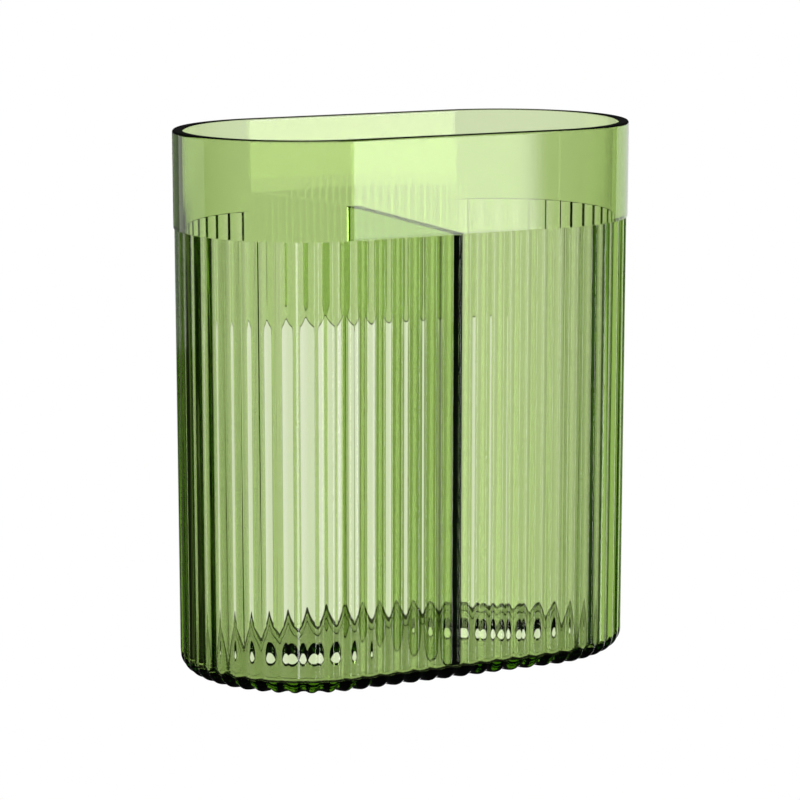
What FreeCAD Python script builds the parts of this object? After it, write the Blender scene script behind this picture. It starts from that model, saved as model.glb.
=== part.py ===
import FreeCAD, Part
import math
import os

# Ribbed toothbrush holder: an oblong cup of clear tinted plastic, and the divider that drops into it.
# Millimetres, +Z up, X along the length, origin on the table under the middle of the cup.

# Overall sizes of the cup
LENGTH = 97.0
WIDTH = 52.0
HEIGHT = 110.0
SIDE_TAPER = 0.3

# Wall, rim and floor of the cup
RIM_WALL = 2.2
RIM_CHAMFER = 0.4
INNER_TAPER = 1.0
FLOOR = 2.6
FLOOR_CHAMFER = 0.8

# Ribs round the cup, from the plain band under the rim down to the table
PLAIN_BAND = 19.6
RIB_STEP = 0.2
RIB_DEPTH = 0.47
RIBS_PER_SIDE = 12
RIBS_PER_END = 21
BASE_ROUNDING = 3.7
BASE_ROUNDING_STEPS = 3

# Underside of the cup
RIB_RUN_OUT = 1.0
STANDING_RING = 3.0
STANDING_RECESS = 0.3

# Divider and the two grooves that it slides in
DIVIDER_THICKNESS = 1.6
DIVIDER_CORNER = 0.8
DIVIDER_NOTCH = 11.0
DIVIDER_NOTCH_RISE = 3.5
GROOVE_CLEARANCE = 0.15

# Drain hole in the floor of each half, and the opening low in the back wall
DRAIN_HOLE = 17.2
DRAIN_SPACING = 46.0
BACK_OPENING_WIDTH = 36.0
BACK_OPENING_TOP = 66.0
BACK_OPENING_CORNER = 2.0

# How far a cutting solid runs past the face that it opens
OVERRUN = 1.0

HALF_STRAIGHT = (LENGTH - WIDTH) / 2
RIB_TOP = HEIGHT - PLAIN_BAND
RIB_COUNT = 2 * (RIBS_PER_SIDE + RIBS_PER_END)
UP = FreeCAD.Vector(0, 0, 1)


def outer_radius(z):
    """Radius of the plain outer wall's ends, which is also half its width, at a height."""
    return WIDTH / 2 - SIDE_TAPER * (HEIGHT - z) / HEIGHT


def inner_radius(z):
    """The same for the inner wall, which leans in more so that the cup leaves its mould."""
    return WIDTH / 2 - RIM_WALL - INNER_TAPER * (HEIGHT - z) / (HEIGHT - FLOOR)


def oblong(radius, z):
    """Outline of two straight sides and two half-round ends, level at a height."""
    lift = UP * z
    front_left = FreeCAD.Vector(-HALF_STRAIGHT, -radius, 0) + lift
    front_right = FreeCAD.Vector(HALF_STRAIGHT, -radius, 0) + lift
    right = FreeCAD.Vector(HALF_STRAIGHT + radius, 0, 0) + lift
    back_right = FreeCAD.Vector(HALF_STRAIGHT, radius, 0) + lift
    back_left = FreeCAD.Vector(-HALF_STRAIGHT, radius, 0) + lift
    left = FreeCAD.Vector(-HALF_STRAIGHT - radius, 0, 0) + lift
    return Part.Wire([
        Part.LineSegment(front_left, front_right).toShape(),
        Part.Arc(front_right, right, back_right).toShape(),
        Part.LineSegment(back_right, back_left).toShape(),
        Part.Arc(back_left, left, front_left).toShape(),
    ])


def rib_ray(place):
    """Foot on the cup's middle line and outward direction, for a place counted in ribs from the front."""
    pitch = 2 * HALF_STRAIGHT / RIBS_PER_SIDE
    place = (place + RIBS_PER_SIDE / 2) % RIB_COUNT
    side = 1
    if place >= RIB_COUNT / 2:
        place -= RIB_COUNT / 2
        side = -1
    along = min(place, RIBS_PER_SIDE) * pitch - HALF_STRAIGHT
    turn = math.pi * max(place - RIBS_PER_SIDE, 0) / RIBS_PER_END
    foot = FreeCAD.Vector(side * along, 0, 0)
    outward = FreeCAD.Vector(side * math.sin(turn), -side * math.cos(turn), 0)
    return foot, outward


def rib_point(place, reach, z):
    """Point at a reach from the cup's middle line, on the ray of a place counted in ribs."""
    foot, outward = rib_ray(place)
    return foot + outward * reach + UP * z


def ribbed_outline(crest, valley):
    """Closed row of rib arcs; crest and valley are each a reach from the middle line and a height."""
    valleys = [rib_point(rib, *valley) for rib in range(RIB_COUNT)]
    arcs = []
    for rib in range(RIB_COUNT):
        following = valleys[(rib + 1) % RIB_COUNT]
        arcs.append(Part.Arc(valleys[rib], rib_point(rib + 1 / 2, *crest), following).toShape())
    return Part.Wire(arcs)


def level_ribs(z):
    """Rib outline on the upright wall at a height."""
    crest = outer_radius(z) - RIB_STEP
    return ribbed_outline((crest, z), (crest - RIB_DEPTH, z))


def turned_ribs(turn):
    """Rib outline part of the way round the base rounding, sunk square to the rounding."""
    centre = outer_radius(BASE_ROUNDING) - RIB_STEP - BASE_ROUNDING
    crest = (centre + BASE_ROUNDING * math.cos(turn), BASE_ROUNDING * (1 - math.sin(turn)))
    sunk = BASE_ROUNDING - RIB_DEPTH
    valley = (centre + sunk * math.cos(turn), BASE_ROUNDING - sunk * math.sin(turn))
    return ribbed_outline(crest, valley)


def ribbed_body():
    """Solid of the ribbed part, whose ribs wrap round the base and run out on the underside."""
    top = level_ribs(RIB_TOP)
    outlines = [top]
    for step in range(BASE_ROUNDING_STEPS):
        outlines.append(turned_ribs(math.pi / 2 * step / BASE_ROUNDING_STEPS))
    ring = outer_radius(BASE_ROUNDING) - RIB_STEP - BASE_ROUNDING
    underside = ribbed_outline((ring, 0), (ring - RIB_RUN_OUT, 0))
    outlines.append(underside)
    skin = Part.makeLoft(outlines, False, True)
    shell = Part.makeShell(skin.Faces + [Part.Face(top), Part.Face(underside)])
    shell.sewShape()
    return Part.makeSolid(shell)


def plain_band():
    """Solid of the smooth band under the rim."""
    return Part.makeLoft([oblong(outer_radius(z), z) for z in (RIB_TOP, HEIGHT)], True, True)


def cavity():
    """Space inside the cup, chamfered where the wall meets the floor."""
    reach = HEIGHT + OVERRUN
    space = Part.makeLoft([oblong(inner_radius(z), z) for z in (FLOOR, reach)], True, True)
    corner = [edge for edge in space.Edges if abs(edge.BoundBox.ZMax - FLOOR) < OVERRUN / 2]
    return space.makeChamfer(FLOOR_CHAMFER, corner)


def standing_recess():
    """Shallow hollow that leaves the cup standing on a ring."""
    ring = outer_radius(BASE_ROUNDING) - RIB_STEP - BASE_ROUNDING - RIB_RUN_OUT - STANDING_RING
    return Part.makeLoft([oblong(ring, z) for z in (-OVERRUN, STANDING_RECESS)], True, True)


def drain_holes():
    """Round holes that let water out of the two halves."""
    holes = []
    for side in (-1, 1):
        foot = FreeCAD.Vector(side * DRAIN_SPACING / 2, 0, -OVERRUN)
        holes.append(Part.makeCylinder(DRAIN_HOLE / 2, FLOOR + 2 * OVERRUN, foot))
    return Part.makeCompound(holes)


def back_opening():
    """Upright opening through the back wall, from the floor up, with round top corners."""
    corner = FreeCAD.Vector(-BACK_OPENING_WIDTH / 2, 0, FLOOR)
    block = Part.makeBox(BACK_OPENING_WIDTH, WIDTH / 2 + OVERRUN, BACK_OPENING_TOP - FLOOR, corner)
    level = BACK_OPENING_TOP - BACK_OPENING_CORNER
    top_corners = [edge for edge in block.Edges
                   if edge.BoundBox.ZMin > level and edge.BoundBox.YLength > WIDTH / 2]
    return block.makeFillet(BACK_OPENING_CORNER, top_corners)


def groove_half_width():
    """Half the distance between the groove bottoms: the inner wall's own at the divider's top."""
    return inner_radius(RIB_TOP)


def divider_grooves():
    """Upright slot for the divider, which fades into the leaning walls at the divider's top."""
    thickness = DIVIDER_THICKNESS + 2 * GROOVE_CLEARANCE
    half_width = groove_half_width()
    corner = FreeCAD.Vector(-thickness / 2, -half_width, FLOOR)
    return Part.makeBox(thickness, 2 * half_width, RIB_TOP - FLOOR, corner)


def cup():
    """The moulded cup: ribbed body and plain band, hollowed, grooved, pierced and chamfered at the rim."""
    body = ribbed_body().fuse(plain_band())
    for space in (cavity(), divider_grooves(), standing_recess(), drain_holes(), back_opening()):
        body = body.cut(space)
    rim = [edge for edge in body.Edges if edge.BoundBox.ZMin > HEIGHT - RIM_CHAMFER]
    return body.makeChamfer(RIM_CHAMFER, rim)


def divider():
    """Flat plate that stands on the floor between the grooves, notched behind the back opening."""
    half_width = groove_half_width() - GROOVE_CLEARANCE
    corner = FreeCAD.Vector(-DIVIDER_THICKNESS / 2, -half_width, FLOOR)
    plate = Part.makeBox(DIVIDER_THICKNESS, 2 * half_width, RIB_TOP - FLOOR, corner)
    notch_corner = FreeCAD.Vector(-DIVIDER_THICKNESS, half_width - DIVIDER_NOTCH, FLOOR - OVERRUN)
    notch_height = BACK_OPENING_TOP + DIVIDER_NOTCH_RISE - notch_corner.z
    plate = plate.cut(Part.makeBox(2 * DIVIDER_THICKNESS, WIDTH, notch_height, notch_corner))
    corners = [edge for edge in plate.Edges if edge.BoundBox.XLength > DIVIDER_THICKNESS / 2]
    return plate.makeFillet(DIVIDER_CORNER, corners)


os.makedirs("parts", exist_ok=True)
cup().exportStep("parts/holder_cup.step")
divider().exportStep("parts/divider_plate.step")
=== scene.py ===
"""Looks of a ribbed toothbrush holder: a clear green cup and the divider that drops into it."""

import logging
import math
from collections.abc import Callable, Iterable
from dataclasses import dataclass, field
from enum import Enum

import bmesh
import bpy
from mathutils import Matrix, Vector


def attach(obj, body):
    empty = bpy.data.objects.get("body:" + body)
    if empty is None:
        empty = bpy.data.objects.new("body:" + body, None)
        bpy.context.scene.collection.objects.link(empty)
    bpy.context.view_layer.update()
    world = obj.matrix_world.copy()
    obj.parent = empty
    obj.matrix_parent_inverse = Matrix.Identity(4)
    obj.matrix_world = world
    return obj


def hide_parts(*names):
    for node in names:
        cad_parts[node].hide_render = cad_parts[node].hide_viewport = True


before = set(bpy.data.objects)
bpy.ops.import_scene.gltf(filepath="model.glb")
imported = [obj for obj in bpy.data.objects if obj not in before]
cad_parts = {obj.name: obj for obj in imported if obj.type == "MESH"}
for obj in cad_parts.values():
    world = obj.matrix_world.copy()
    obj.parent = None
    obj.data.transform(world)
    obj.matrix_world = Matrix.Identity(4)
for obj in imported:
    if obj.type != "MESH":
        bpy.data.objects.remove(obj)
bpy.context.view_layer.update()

LOG = logging.getLogger("toothbrush_holder")
MM = 0.001
QUARTER_TURN = math.pi / 2


class Body(Enum):
    """Bodies of the frame that the pieces ride on."""

    CUP = "cup"
    DIVIDER = "divider"


def linear(hex_colour: str) -> tuple[float, float, float, float]:
    """Turns an sRGB hex colour into linear light.

    Args:
        hex_colour: Six hex digits, with or without a leading hash.

    Returns:
        Linear red, green and blue, and an alpha of one.
    """
    digits = hex_colour.lstrip("#")
    shares = [int(digits[place:place + 2], 16) / 255 for place in (0, 2, 4)]
    parts = [share / 12.92 if share <= 0.04045 else ((share + 0.055) / 1.055) ** 2.4 for share in shares]
    return parts[0], parts[1], parts[2], 1.0


WHITE = linear("#FFFFFF")


def add_node(tree: bpy.types.NodeTree, kind: str, inputs: dict | None = None,
             **settings: object) -> bpy.types.Node:
    """Adds one shader node, with its settings and what feeds its inputs.

    Args:
        tree: Node tree that the node joins.
        kind: Blender's name for the node.
        inputs: Sockets to link or plain values to set, by the name or number of the input.
        **settings: Properties of the node itself.

    Returns:
        The new node.
    """
    node = tree.nodes.new(kind)
    for name, value in settings.items():
        setattr(node, name, value)
    for name, value in (inputs or {}).items():
        if isinstance(value, bpy.types.NodeSocket):
            tree.links.new(value, node.inputs[name])
        else:
            node.inputs[name].default_value = value
    return node


def deselect_all() -> None:
    """Leaves nothing selected, so that the next operator acts on the new piece alone."""
    bpy.ops.object.select_all(action="DESELECT")


def name_piece(name: str) -> bpy.types.Object:
    """Names the piece that an operator has just added, and its mesh.

    Args:
        name: Name in a maker's plain words.

    Returns:
        The piece.
    """
    piece = bpy.context.object
    piece.name = name
    piece.data.name = name
    return piece


def make_active(piece: bpy.types.Object) -> None:
    """Makes one piece the only selected and active one."""
    deselect_all()
    piece.select_set(True)
    bpy.context.view_layer.objects.active = piece


def settle(piece: bpy.types.Object) -> None:
    """Moves a piece's place into its mesh, so that its object sits at the origin."""
    make_active(piece)
    bpy.ops.object.transform_apply(location=True, rotation=True, scale=True)


def smooth(piece: bpy.types.Object, degrees: float) -> None:
    """Shades a piece smooth, apart from edges sharper than an angle in degrees."""
    make_active(piece)
    bpy.ops.object.shade_smooth_by_angle(angle=math.radians(degrees))


def add_block(name: str, size: tuple[float, float, float],
              centre: tuple[float, float, float]) -> bpy.types.Object:
    """Adds a plain block.

    Args:
        name: Name of the block.
        size: Its size along X, Y and Z, in millimetres.
        centre: Its middle, in millimetres.

    Returns:
        The block, with its place in its mesh.
    """
    deselect_all()
    bpy.ops.mesh.primitive_cube_add(size=1.0, location=Vector(centre) * MM, scale=Vector(size) * MM)
    block = name_piece(name)
    settle(block)
    return block


def cut(piece: bpy.types.Object, cutter: bpy.types.Object) -> None:
    """Takes the space of a cutter out of a piece, and throws the cutter away.

    Args:
        piece: Piece that is cut.
        cutter: Closed mesh that marks the space.
    """
    make_active(piece)
    step = piece.modifiers.new("cut", "BOOLEAN")
    step.operation = "DIFFERENCE"
    step.solver = "EXACT"
    step.object = cutter
    bpy.ops.object.modifier_apply(modifier=step.name)
    bpy.data.objects.remove(cutter)


def round_edges(piece: bpy.types.Object, radius: float, facets: int,
                chosen: Callable[[Vector, Vector], bool]) -> None:
    """Rounds some edges of a piece.

    Args:
        piece: Piece whose place is in its mesh.
        radius: Radius of the rounding, in millimetres.
        facets: Facets of each rounding.
        chosen: Test of an edge by its two ends, in millimetres.
    """
    make_active(piece)
    bpy.ops.object.mode_set(mode="EDIT")
    bpy.ops.mesh.select_all(action="DESELECT")
    shell = bmesh.from_edit_mesh(piece.data)
    for edge in shell.edges:
        edge.select = chosen(edge.verts[0].co / MM, edge.verts[1].co / MM)
    bmesh.update_edit_mesh(piece.data)
    bpy.ops.mesh.bevel(offset=radius * MM, segments=facets)
    bpy.ops.object.mode_set(mode="OBJECT")


@dataclass(frozen=True)
class ClearPlastic:
    """Injection-moulded clear styrene, tinted right through.

    A polished tool leaves it as smooth as glass, so the eye sees sharp refraction, deep colour where the
    light runs along a wall, and a faint slow waviness and haze where the melt flowed.
    """

    name: str = "moulded clear green styrene"
    tint: str = "#C3DC6C"
    density: float = 400.0
    ior: float = 1.49
    waviness_mm: float = 22.0
    waviness_height_mm: float = 0.0003
    flow_detail: float = 1.0
    flow_roughness: float = 0.3
    haze: float = 0.004
    haze_start: float = 0.45
    haze_full: float = 0.8

    def build(self) -> bpy.types.Material:
        """Makes the material.

        Returns:
            A refracting material whose colour comes from the depth of plastic that light crosses.
        """
        material = bpy.data.materials.new(self.name)
        material.use_nodes = True
        tree = material.node_tree
        tree.nodes.clear()
        place = add_node(tree, "ShaderNodeTexCoord")
        flow = add_node(tree, "ShaderNodeTexNoise", {
            "Vector": place.outputs["Object"], "Scale": 1 / (self.waviness_mm * MM),
            "Detail": self.flow_detail, "Roughness": self.flow_roughness})
        waves = add_node(tree, "ShaderNodeBump", {
            "Height": flow.outputs[0], "Strength": 1.0, "Distance": self.waviness_height_mm * MM})
        polish = add_node(tree, "ShaderNodeMapRange", {
            "Value": flow.outputs[0], "From Min": self.haze_start, "From Max": self.haze_full,
            "To Min": 0.0, "To Max": self.haze})
        skin = add_node(tree, "ShaderNodeBsdfPrincipled", {
            "Normal": waves.outputs[0], "Roughness": polish.outputs[0], "Base Color": WHITE,
            "Transmission Weight": 1.0, "IOR": self.ior})
        depth = add_node(tree, "ShaderNodeVolumeAbsorption", {
            "Color": linear(self.tint), "Density": self.density})
        add_node(tree, "ShaderNodeOutputMaterial", {"Surface": skin.outputs[0], "Volume": depth.outputs[0]})
        return material


@dataclass(frozen=True)
class Ring:
    """One ring of the cup's wall, in millimetres.

    The step is taken off its reach where there are ribs. A rib's drop moves it inward and upward by the
    two shares.
    """

    reach: float
    height: float
    step: float = 0.0
    inward: float = 0.0
    upward: float = 0.0


@dataclass
class Cup:
    """Oblong cup with a plain band, ribs round its base, drain holes and a back opening; millimetres.

    The support is how far beside a rounding an extra ring keeps the long faces' shading true.
    """

    length: float = 97.0
    width: float = 52.0
    height: float = 110.0
    side_taper: float = 0.3
    rim_wall: float = 2.2
    rim_rounding: float = 0.5
    inner_taper: float = 0.6
    floor: float = 2.6
    floor_rounding: float = 0.8
    plain_band: float = 19.6
    band_edge: float = 0.1
    band_blend: float = 0.3
    rib_step: float = 0.2
    rib_depth: float = 0.6
    rib_valley_radius: float = 1.4
    ribs_per_side: int = 12
    ribs_per_end: int = 21
    rib_segments: int = 16
    base_rounding: float = 3.7
    rib_run_out: float = 1.0
    standing_ring: float = 3.0
    standing_recess: float = 0.3
    drain_hole: float = 17.2
    drain_spacing: float = 46.0
    drain_facets: int = 128
    back_opening_width: float = 36.0
    back_opening_top: float = 66.0
    back_opening_corner: float = 2.0
    corner_facets: int = 8
    overrun: float = 1.0
    support: float = 0.05
    smooth_angle: float = 32.0
    piece: bpy.types.Object | None = field(default=None, init=False)

    @property
    def half_straight(self) -> float:
        """Half the length of the straight sides."""
        return (self.length - self.width) / 2

    @property
    def rib_count(self) -> int:
        """Places for ribs round the whole cup."""
        return 2 * (self.ribs_per_side + self.ribs_per_end)

    @property
    def rib_top(self) -> float:
        """Height where the ribs end under the plain band."""
        return self.height - self.plain_band

    @property
    def rib_pitch(self) -> float:
        """Distance from rib to rib along a straight side."""
        return 2 * self.half_straight / self.ribs_per_side

    def outer(self, height: float) -> float:
        """Reach of the plain outer wall from the middle line, at a height."""
        return self.width / 2 - self.side_taper * (self.height - height) / self.height

    def inner(self, height: float) -> float:
        """Reach of the inner wall from the middle line, at a height."""
        lean = self.inner_taper * (self.height - height) / (self.height - self.floor)
        return self.width / 2 - self.rim_wall - lean

    def ray(self, place: float) -> tuple[Vector, Vector]:
        """Finds the ray square to the wall at a place counted in ribs from the middle of the front.

        Args:
            place: Place round the cup, in ribs.

        Returns:
            The ray's foot on the middle line, in millimetres, and its outward direction.
        """
        along = (place + self.ribs_per_side / 2) % self.rib_count
        side = 1.0
        if along >= self.rib_count / 2:
            along -= self.rib_count / 2
            side = -1.0
        foot = min(along, self.ribs_per_side) * self.rib_pitch - self.half_straight
        turn = math.pi * max(along - self.ribs_per_side, 0.0) / self.ribs_per_end
        return Vector((side * foot, 0, 0)), Vector((side * math.sin(turn), -side * math.cos(turn), 0))

    def drop(self, place: float) -> float:
        """Finds how far the rib surface lies below the rib's crest.

        The crest is a round arc, and the valley between two ribs has the small radius of the tool's cutter.

        Args:
            place: Place round the cup, in ribs; valleys are at whole numbers.

        Returns:
            The drop in millimetres.
        """
        half = self.rib_pitch / 2
        across = abs(place % 1.0 - 0.5) * self.rib_pitch
        both = (half ** 2 + self.rib_depth ** 2) / (2 * self.rib_depth)
        crest = both - self.rib_valley_radius
        if across <= crest * half / both:
            return crest - math.sqrt(crest ** 2 - across ** 2)
        lift = self.rib_valley_radius - math.sqrt(self.rib_valley_radius ** 2 - (half - across) ** 2)
        return self.rib_depth - lift

    def relief(self, place: float) -> tuple[float, float]:
        """Finds how the wall is sunk at a place; the flat back is plain, and the last ribs blend into it.

        Args:
            place: Place round the cup, in ribs.

        Returns:
            The share of the step below the band, and the drop below the rib's crest in millimetres.
        """
        past_flat = abs(place % self.rib_count - self.rib_count / 2) - self.ribs_per_side / 2
        if past_flat >= 0.5:
            return 1.0, self.drop(place)
        share = max(2 * past_flat, 0.0)
        return share * share * (3 - 2 * share), 0.0

    def underside_rings(self) -> Iterable[Ring]:
        """Yields the rings of the hollow underside and the ring that the cup stands on."""
        centre = self.outer(self.base_rounding) - self.base_rounding
        hollow = centre - self.rib_step - self.rib_run_out - self.standing_ring
        yield Ring(hollow - self.standing_recess, self.standing_recess)
        yield Ring(hollow, self.standing_recess)
        yield Ring(hollow, 0.0)
        yield Ring(hollow + self.standing_ring - self.standing_recess, 0.0)
        yield Ring(centre, 0.0, self.rib_step, self.rib_run_out / self.rib_depth)

    def rib_rings(self, steps: int = 10, fade: float = 0.25) -> Iterable[Ring]:
        """Yields the rings of the ribs, round the base and up the wall.

        Args:
            steps: Steps round the base.
            fade: Share of the rounding in which the ribs swell from their run-out.
        """
        radius = self.base_rounding
        centre = self.outer(radius) - radius
        for step in range(1, steps + 1):
            turn = QUARTER_TURN * (1 - step / steps)
            swell = min(step / steps / fade, 1.0)
            spread = (1 - swell) * self.rib_run_out / self.rib_depth
            yield Ring(centre + radius * math.cos(turn), radius * (1 - math.sin(turn)), self.rib_step,
                       swell * math.cos(turn) + spread, swell * math.sin(turn))
        for height in (radius + self.support, self.rib_top / 2, self.rib_top - self.support, self.rib_top):
            yield Ring(self.outer(height), height, self.rib_step, 1.0)

    def band_rings(self, edge_steps: int = 3, rim_steps: int = 6) -> Iterable[Ring]:
        """Yields the rings of the plain band and the rounded rim.

        Args:
            edge_steps: Steps round the band's lower edge.
            rim_steps: Steps round each edge of the rim.
        """
        edge = self.band_edge
        yield Ring(self.outer(self.rib_top), self.rib_top, self.rib_step / 2, self.band_blend)
        yield Ring(self.outer(self.rib_top), self.rib_top, edge)
        for step in range(1, edge_steps + 1):
            turn = QUARTER_TURN * step / edge_steps
            yield Ring(self.outer(self.rib_top), self.rib_top + edge * (1 - math.cos(turn)),
                       edge * (1 - math.sin(turn)))
        radius = self.rim_rounding
        for height in (self.rib_top + edge + self.support, self.height - radius - self.support):
            yield Ring(self.outer(height), height)
        turns = [QUARTER_TURN * step / rim_steps for step in range(rim_steps + 1)]
        for turn in turns:
            yield Ring(self.outer(self.height) - radius * (1 - math.cos(turn)),
                       self.height - radius * (1 - math.sin(turn)))
        for turn in turns:
            yield Ring(self.inner(self.height) + radius * (1 - math.sin(turn)),
                       self.height - radius * (1 - math.cos(turn)))

    def inside_rings(self, steps: int = 6) -> Iterable[Ring]:
        """Yields the rings of the inner wall and the rounding where it meets the floor.

        Args:
            steps: Steps round the corner at the floor.
        """
        radius = self.floor_rounding
        low = self.floor + radius
        for height in (self.height - self.rim_rounding - self.support, self.height / 2,
                       low + self.support, low):
            yield Ring(self.inner(height), height)
        for step in range(1, steps + 1):
            turn = QUARTER_TURN * step / steps
            yield Ring(self.inner(low) - radius * (1 - math.cos(turn)), low - radius * math.sin(turn))
        yield Ring(self.inner(low) - 2 * radius, self.floor)

    def place_ring(self, mesh: bpy.types.Mesh, ring: Ring, places: list[float]) -> None:
        """Sets the selected ring of vertices on its outline.

        Args:
            mesh: Mesh in edit mode.
            ring: Ring that the vertices belong to.
            places: Place of each vertex round the cup, in ribs, in the order of the first ring.
        """
        shell = bmesh.from_edit_mesh(mesh)
        order = shell.verts.layers.int["order"]
        for vertex in (vertex for vertex in shell.verts if vertex.select):
            place = places[vertex[order]]
            foot, outward = self.ray(place)
            stepped, sunk = self.relief(place)
            point = foot + outward * (ring.reach - ring.step * stepped - ring.inward * sunk)
            point.z = ring.height + ring.upward * sunk
            vertex.co = point * MM
        bmesh.update_edit_mesh(mesh)

    def build_shell(self) -> None:
        """Raises the wall ring by ring from the table, over the rim and down to the floor inside."""
        count = self.rib_count * self.rib_segments
        places = [number / self.rib_segments for number in range(count)]
        rings = [*self.underside_rings(), *self.rib_rings(), *self.band_rings(), *self.inside_rings()]
        deselect_all()
        bpy.ops.mesh.primitive_circle_add(vertices=count, radius=self.width / 2 * MM)
        self.piece = name_piece("ribbed_cup")
        mesh = self.piece.data
        bpy.ops.object.mode_set(mode="EDIT")
        shell = bmesh.from_edit_mesh(mesh)
        order = shell.verts.layers.int.new("order")
        for number, vertex in enumerate(shell.verts):
            vertex[order] = number
        bmesh.update_edit_mesh(mesh)
        bpy.ops.mesh.select_all(action="SELECT")
        self.place_ring(mesh, rings[0], places)
        bpy.ops.mesh.edge_face_add()
        for ring in rings[1:]:
            bpy.ops.mesh.extrude_edges_move()
            self.place_ring(mesh, ring, places)
        bpy.ops.mesh.edge_face_add()
        bpy.ops.mesh.select_all(action="SELECT")
        bpy.ops.mesh.normals_make_consistent(inside=False)
        bpy.ops.object.mode_set(mode="OBJECT")
        mesh.attributes.remove(mesh.attributes["order"])

    def cut_openings(self) -> None:
        """Cuts the drain holes and the back opening."""
        past_floor = 2 * self.floor
        for side in (-1, 1):
            deselect_all()
            bpy.ops.mesh.primitive_cylinder_add(
                vertices=self.drain_facets, radius=self.drain_hole / 2 * MM, depth=2 * past_floor * MM,
                location=(side * self.drain_spacing / 2 * MM, 0, 0))
            cut(self.piece, name_piece("drain"))
        depth = self.width / 2 + self.overrun
        opening = add_block("opening", (self.back_opening_width, depth, self.back_opening_top - self.floor),
                            (0, depth / 2, (self.back_opening_top + self.floor) / 2))
        level = self.back_opening_top - self.overrun
        round_edges(opening, self.back_opening_corner, self.corner_facets,
                    lambda start, end: min(start.z, end.z) > level and abs(start.x - end.x) < self.overrun)
        cut(self.piece, opening)

    def dress(self, plastic: bpy.types.Material) -> None:
        """Gives the cup its finish and its place in the frame."""
        smooth(self.piece, self.smooth_angle)
        self.piece.data.materials.append(plastic)
        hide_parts("holder_cup")
        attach(self.piece, Body.CUP.value)

    def build(self, plastic: bpy.types.Material) -> bpy.types.Object:
        """Builds and dresses the cup.

        Args:
            plastic: Finish of the cup.

        Returns:
            The finished cup.
        """
        self.build_shell()
        self.cut_openings()
        self.dress(plastic)
        return self.piece


@dataclass
class Divider:
    """Flat plate across the middle of the cup, notched behind the back opening; millimetres.

    The angle for smooth shading is small, so that the roundings leave the large faces optically flat.
    """

    thickness: float = 2.3
    half_top: float = 23.65
    half_foot: float = 23.15
    foot: float = 2.62
    top: float = 90.4
    notch: float = 11.0
    notch_top: float = 69.5
    foot_corner: float = 1.0
    foot_facets: int = 4
    edge_rounding: float = 0.1
    edge_facets: int = 3
    smooth_angle: float = 8.0
    piece: bpy.types.Object | None = field(default=None, init=False)

    @property
    def middle(self) -> float:
        """Height halfway up the plate."""
        return (self.top + self.foot) / 2

    def lean_ends(self) -> None:
        """Narrows the foot of the plate, so that its ends lean as the cup's walls do."""
        make_active(self.piece)
        bpy.ops.object.mode_set(mode="EDIT")
        shell = bmesh.from_edit_mesh(self.piece.data)
        bpy.ops.mesh.select_all(action="DESELECT")
        for vertex in shell.verts:
            vertex.select = vertex.co.z < self.middle * MM
        bmesh.update_edit_mesh(self.piece.data)
        bpy.ops.transform.resize(value=(1.0, self.half_foot / self.half_top, 1.0), center_override=(0, 0, 0))
        bpy.ops.object.mode_set(mode="OBJECT")

    def build_plate(self) -> None:
        """Builds the plate with its leaning ends, round foot corners, notch and broken edges."""
        self.piece = add_block("divider_panel", (self.thickness, 2 * self.half_top, self.top - self.foot),
                               (0, 0, self.middle))
        self.lean_ends()
        round_edges(self.piece, self.foot_corner, self.foot_facets, lambda start, end: (
            max(start.z, end.z) < self.middle and abs(start.y - end.y) < self.edge_rounding))
        notch = add_block("notch", (2 * self.thickness, 2 * self.notch, 2 * (self.notch_top - self.foot)),
                          (0, self.half_top, self.foot))
        cut(self.piece, notch)
        make_active(self.piece)
        rounding = self.piece.modifiers.new("rounding", "BEVEL")
        rounding.width = self.edge_rounding * MM
        rounding.segments = self.edge_facets
        bpy.ops.object.modifier_apply(modifier=rounding.name)

    def dress(self, plastic: bpy.types.Material) -> None:
        """Gives the divider its finish and its place in the frame."""
        smooth(self.piece, self.smooth_angle)
        self.piece.data.materials.append(plastic)
        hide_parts("divider_plate")
        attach(self.piece, Body.DIVIDER.value)

    def build(self, plastic: bpy.types.Material) -> bpy.types.Object:
        """Builds and dresses the divider.

        Args:
            plastic: Finish of the divider.

        Returns:
            The finished divider.
        """
        self.build_plate()
        self.dress(plastic)
        return self.piece


@dataclass(frozen=True)
class Patch:
    """One light or dark card on the studio's sweep, in degrees round and degrees up from level."""

    left: float
    right: float
    low: float
    high: float
    strength: float = 1.0


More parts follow.
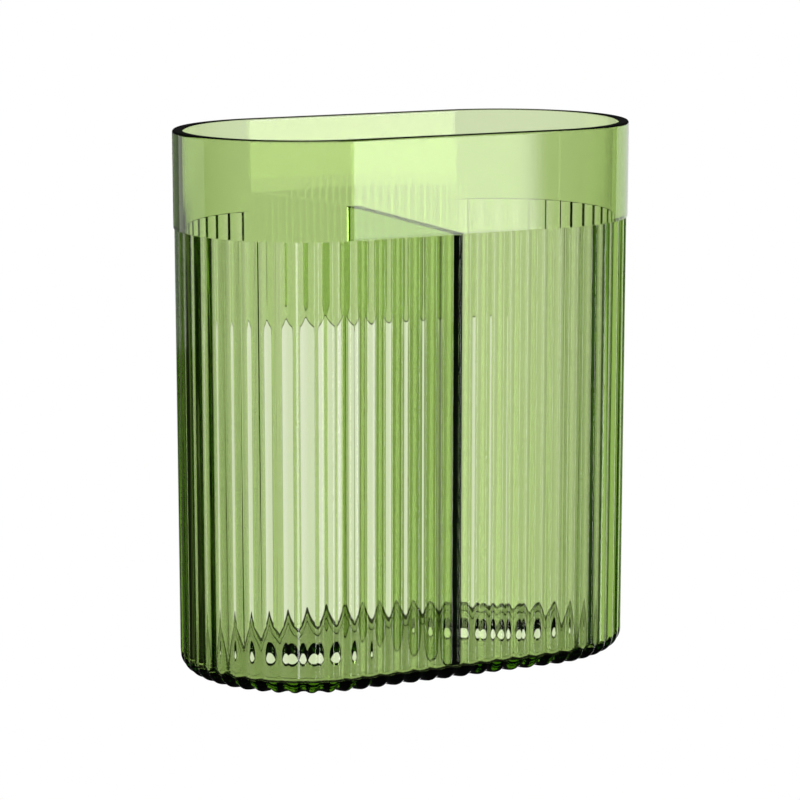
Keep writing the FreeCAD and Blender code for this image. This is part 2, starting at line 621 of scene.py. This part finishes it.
@dataclass
class Studio:
    """White sweep and floor behind the plastic, lights that it mirrors, and dark cards that edge it.

    The window is counted round from the front. Panels and flags are counted from straight behind the cup.
    Panels are a broad one, a dim gap beside it, and one that the divider's side mirrors. Flags stand left,
    right, below and above.
    """

    white: float = 1.0
    shade: float = 0.02
    soft_edge: float = 0.25
    floor_half: float = 3.0
    floor_drop: float = 0.2
    flag_shade: float = 0.1
    behind: float = 153.59
    bounces: int = 24
    clear_bounces: int = 16
    window: Patch = Patch(21.0, 28.9, -16.0, 30.0, 5.0)
    panels: tuple[Patch, ...] = (
        Patch(-53.6, 11.0, -25.0, 0.0),
        Patch(11.0, 40.0, -25.0, 0.0, 0.15),
        Patch(40.0, 85.0, -9.3, 0.0, 0.8),
    )
    flags: tuple[Patch, ...] = (
        Patch(76.0, 105.0, -90.0, 90.0),
        Patch(-105.0, -75.0, -90.0, 90.0),
        Patch(-181.0, 181.0, -60.0, -30.0),
        Patch(-181.0, 181.0, 28.0, 70.0),
    )

    @staticmethod
    def path(tree: bpy.types.NodeTree, kind: str) -> bpy.types.NodeSocket:
        """Tells light of one kind from the rest.

        Args:
            tree: Node tree of the sweep or the floor.
            kind: Output of the light path that is tested.

        Returns:
            A socket that is one for that kind of light and nought for the rest.
        """
        path = add_node(tree, "ShaderNodeLightPath")
        test = add_node(tree, "ShaderNodeMath", {0: path.outputs[kind], 1: 0.5}, operation="GREATER_THAN")
        return test.outputs[0]

    def angles(self, tree: bpy.types.NodeTree) -> list[bpy.types.NodeSocket]:
        """Measures where light comes from, in degrees.

        Args:
            tree: Node tree of the sweep.

        Returns:
            The angle round from the front, the angle round from straight behind, and the angle up from level.
        """
        place = add_node(tree, "ShaderNodeTexCoord")
        right, back, up = add_node(tree, "ShaderNodeSeparateXYZ", {0: place.outputs["Generated"]}).outputs
        front = add_node(tree, "ShaderNodeMath", {0: back, 1: -1.0}, operation="MULTIPLY")
        turn = add_node(tree, "ShaderNodeMath", {0: right, 1: front.outputs[0]}, operation="ARCTAN2")
        around = add_node(tree, "ShaderNodeMath", {0: turn.outputs[0]}, operation="DEGREES")
        past = add_node(tree, "ShaderNodeMath", {0: around.outputs[0], 1: self.behind}, operation="SUBTRACT")
        turned = add_node(tree, "ShaderNodeMath", {0: past.outputs[0], 1: 180.0, 2: -180.0}, operation="WRAP")
        rise = add_node(tree, "ShaderNodeMath", {0: up}, operation="ARCSINE")
        upward = add_node(tree, "ShaderNodeMath", {0: rise.outputs[0]}, operation="DEGREES")
        return [node.outputs[0] for node in (around, turned, upward)]

    def edge(self, tree: bpy.types.NodeTree, angle: bpy.types.NodeSocket, limit: float,
             rising: bool) -> bpy.types.NodeSocket:
        """Draws one soft edge of a patch.

        Args:
            tree: Node tree of the sweep.
            angle: Angle that is compared, in degrees.
            limit: Angle of the edge.
            rising: Whether the patch lies above the limit.

        Returns:
            A socket from nought to one across the edge.
        """
        step = add_node(tree, "ShaderNodeMapRange", {
            "Value": angle, "From Min": limit - self.soft_edge, "From Max": limit + self.soft_edge,
            "To Min": 0.0 if rising else 1.0, "To Max": 1.0 if rising else 0.0,
        }, interpolation_type="SMOOTHSTEP")
        return step.outputs[0]

    def draw(self, tree: bpy.types.NodeTree, around: bpy.types.NodeSocket, upward: bpy.types.NodeSocket,
             patch: Patch) -> bpy.types.NodeSocket:
        """Draws one patch, as bright as its strength.

        Args:
            tree: Node tree of the sweep.
            around: Angle round that the patch is counted in.
            upward: Angle up from level.
            patch: Light or card that is drawn.

        Returns:
            A socket that is the strength inside the patch and nought outside.
        """
        drawn = patch.strength
        for angle, limit, rising in ((around, patch.left, True), (around, patch.right, False),
                                     (upward, patch.low, True), (upward, patch.high, False)):
            side = self.edge(tree, angle, limit, rising)
            drawn = add_node(tree, "ShaderNodeMath", {0: drawn, 1: side}, operation="MULTIPLY").outputs[0]
        return drawn

    def build_sweep(self) -> None:
        """Makes the world that lights the plastic.

        The camera sees plain white. Light that has only passed through the plastic comes from white between
        dark cards, and mirrored light comes from lights in the dark.
        """
        world = bpy.data.worlds.new("studio sweep")
        bpy.context.scene.world = world
        world.use_nodes = True
        tree = world.node_tree
        tree.nodes.clear()
        around, turned, upward = self.angles(tree)
        lights = [self.draw(tree, around, upward, self.window)]
        lights += [self.draw(tree, turned, upward, panel) for panel in self.panels]
        mirrored = self.shade
        for light in lights:
            mirrored = add_node(tree, "ShaderNodeMath", {0: mirrored, 1: light}, operation="ADD").outputs[0]
        through = self.white
        for flag in self.flags:
            card = self.draw(tree, turned, upward, flag)
            passed = add_node(tree, "ShaderNodeMath", {0: card, 1: self.flag_shade - 1, 2: 1.0},
                              operation="MULTIPLY_ADD").outputs[0]
            product = add_node(tree, "ShaderNodeMath", {0: through, 1: passed}, operation="MULTIPLY")
            through = product.outputs[0]
        seen = add_node(tree, "ShaderNodeMix", {0: self.path(tree, "Glossy Depth"), 2: through, 3: mirrored})
        direct = add_node(tree, "ShaderNodeMix", {
            0: self.path(tree, "Is Camera Ray"), 2: seen.outputs[0], 3: self.white})
        glow = add_node(tree, "ShaderNodeBackground", {"Strength": direct.outputs[0], "Color": WHITE})
        add_node(tree, "ShaderNodeOutputWorld", {"Surface": glow.outputs[0]})

    def build_floor(self) -> None:
        """Lays the white floor, a lit table that only the camera sees; the sweep alone lights the cup."""
        deselect_all()
        bpy.ops.mesh.primitive_plane_add(size=2 * self.floor_half, location=(0, 0, -self.floor_drop * MM))
        floor = name_piece("studio_floor")
        settle(floor)
        material = bpy.data.materials.new("lit white table")
        material.use_nodes = True
        tree = material.node_tree
        tree.nodes.clear()
        lit = add_node(tree, "ShaderNodeEmission", {"Color": WHITE, "Strength": self.white})
        clear = add_node(tree, "ShaderNodeBsdfTransparent")
        choice = add_node(tree, "ShaderNodeMixShader", {
            0: self.path(tree, "Is Camera Ray"), 1: clear.outputs[0], 2: lit.outputs[0]})
        add_node(tree, "ShaderNodeOutputMaterial", {"Surface": choice.outputs[0]})
        floor.data.materials.append(material)

    def build(self) -> None:
        """Builds the sweep and the floor, and sets how light is traced through clear plastic."""
        self.build_sweep()
        self.build_floor()
        scene = bpy.context.scene
        scene.view_settings.view_transform = "Standard"
        scene.cycles.max_bounces = self.bounces
        scene.cycles.transmission_bounces = self.bounces
        scene.cycles.glossy_bounces = self.bounces
        scene.cycles.transparent_max_bounces = self.clear_bounces


@dataclass
class Viewpoint:
    """Camera of the photograph: degrees for its direction, millimetres for its place and its sensor."""

    azimuth: float = -26.410
    elevation: float = 10.106
    distance: float = 670.506
    aim_height: float = 53.333
    aim_side: float = -0.768
    focal_share: float = 3269.833 / 800
    sensor: float = 36.0
    near_clip: float = 10.0

    def build(self) -> None:
        """Places the camera and makes it the scene's own."""
        turn, rise = math.radians(self.azimuth), math.radians(self.elevation)
        back = Vector((math.sin(turn) * math.cos(rise), -math.cos(turn) * math.cos(rise), math.sin(rise)))
        right = Vector((math.cos(turn), math.sin(turn), 0))
        up = back.cross(right)
        place = (right * self.aim_side + Vector((0, 0, self.aim_height)) + back * self.distance) * MM
        lens = bpy.data.cameras.new("camera")
        lens.sensor_width = self.sensor
        lens.lens = self.focal_share * self.sensor
        lens.clip_start = self.near_clip * MM
        camera = bpy.data.objects.new("camera", lens)
        camera.matrix_world = Matrix.Translation(place) @ Matrix((right, up, back)).transposed().to_4x4()
        bpy.context.scene.collection.objects.link(camera)
        bpy.context.scene.camera = camera


def main() -> None:
    """Builds the camera, the cup, the divider and the studio, in that order."""
    logging.basicConfig(level=logging.INFO, format="%(name)s: %(message)s")
    Viewpoint().build()
    plastic = ClearPlastic().build()
    for maker in (Cup(), Divider()):
        piece = maker.build(plastic)
        LOG.info("%s: %d faces", piece.name, len(piece.data.polygons))
    Studio().build()


if __name__ == "__main__":
    main()
